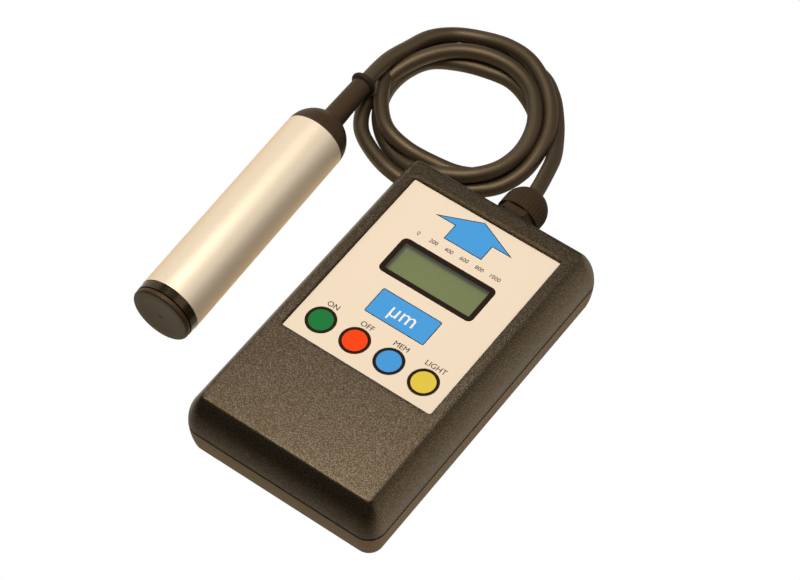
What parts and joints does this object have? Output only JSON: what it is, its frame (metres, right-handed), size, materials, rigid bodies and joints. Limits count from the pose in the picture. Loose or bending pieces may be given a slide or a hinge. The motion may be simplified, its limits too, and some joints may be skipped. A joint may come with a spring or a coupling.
{
  "type": "coating thickness gauge",
  "caption": "Hand-held coating thickness gauge: bulged two-part case with a display and film keys, a domed cable gland, a coiled cable and a tube probe.",
  "frame": {"origin": "middle of the case's back face, on the table", "axes": "+Y along the case towards the cable gland, +Z out of the front film, +X to the right as the film is read"},
  "size_m": [0.1453, 0.235, 0.031],
  "materials": {
    "case_black": "fine grain",
    "screw_steel": "zinc plated",
    "film_cream": "satin print",
    "window_dark": "dark printed border round a clear field",
    "key_green": "satin film",
    "key_orange": "satin film",
    "key_blue": "satin film",
    "key_yellow": "satin film",
    "lcd_black": "matt",
    "lcd_green": "smooth glass over a green field",
    "board_green": "solder mask",
    "moulded_black": "smooth",
    "battery_grey": "bare jacket",
    "seal_rubber": "soft",
    "gland_black": "smooth",
    "cable_black": "smooth sheath",
    "probe_aluminium": "satin",
    "nose_black": "glossy",
    "disc_brown": "ground",
    "ferrite_grey": "ground",
    "copper_wire": "wound",
    "cap_black": "satin"
  },
  "bodies": {
    "meter": {"top_cover": "case_black", "bottom_cover": "case_black", "case_screws": "screw_steel", "front_film": "film_cream", "display_window": "window_dark", "lcd_frame": "lcd_black", "lcd_glass": "lcd_green", "lcd_board": "board_green", "lcd_header": "moulded_black", "main_board": "board_green", "tact_switches": "moulded_black", "controller_chip": "moulded_black", "board_screws": "screw_steel", "probe_terminal": "moulded_black", "battery": "battery_grey", "battery_snap": "moulded_black", "gland_seal": "seal_rubber", "gland_body": "gland_black", "gland_bush": "seal_rubber", "gland_nut": "gland_black", "gland_locknut": "gland_black", "cable_lead": "cable_black", "cable_coil": "cable_black", "cable_tail": "cable_black", "probe_tube": "probe_aluminium", "nose_ring": "nose_black", "end_disc": "disc_brown", "ferrite_core": "ferrite_grey", "sensing_coil": "copper_wire", "rear_cap": "cap_black", "neck_bead": "seal_rubber"},
    "on_key_body": {"on_key": "key_green"},
    "off_key_body": {"off_key": "key_orange"},
    "memory_key_body": {"memory_key": "key_blue"},
    "backlight_key_body": {"backlight_key": "key_yellow"},
    "battery_door_body": {"battery_door": "case_black"}
  },
  "joints": [
    {"name": "on_key_press", "type": "slide", "parent": "meter", "child": "on_key_body", "axis": [0, 0, -1], "range_m": [0, 0.00035], "stiffness_N_per_m": 1000},
    {"name": "off_key_press", "type": "slide", "parent": "meter", "child": "off_key_body", "axis": [0, 0, -1], "range_m": [0, 0.00035], "stiffness_N_per_m": 1000},
    {"name": "memory_key_press", "type": "slide", "parent": "meter", "child": "memory_key_body", "axis": [0, 0, -1], "range_m": [0, 0.00035], "stiffness_N_per_m": 1000},
    {"name": "backlight_key_press", "type": "slide", "parent": "meter", "child": "backlight_key_body", "axis": [0, 0, -1], "range_m": [0, 0.00035], "stiffness_N_per_m": 1000},
    {"name": "battery_door_swing", "type": "hinge", "parent": "meter", "child": "battery_door_body", "pos_m": [0, -0.035, 0], "axis": [1, 0, 0], "range_deg": [0, 60]}
  ]
}
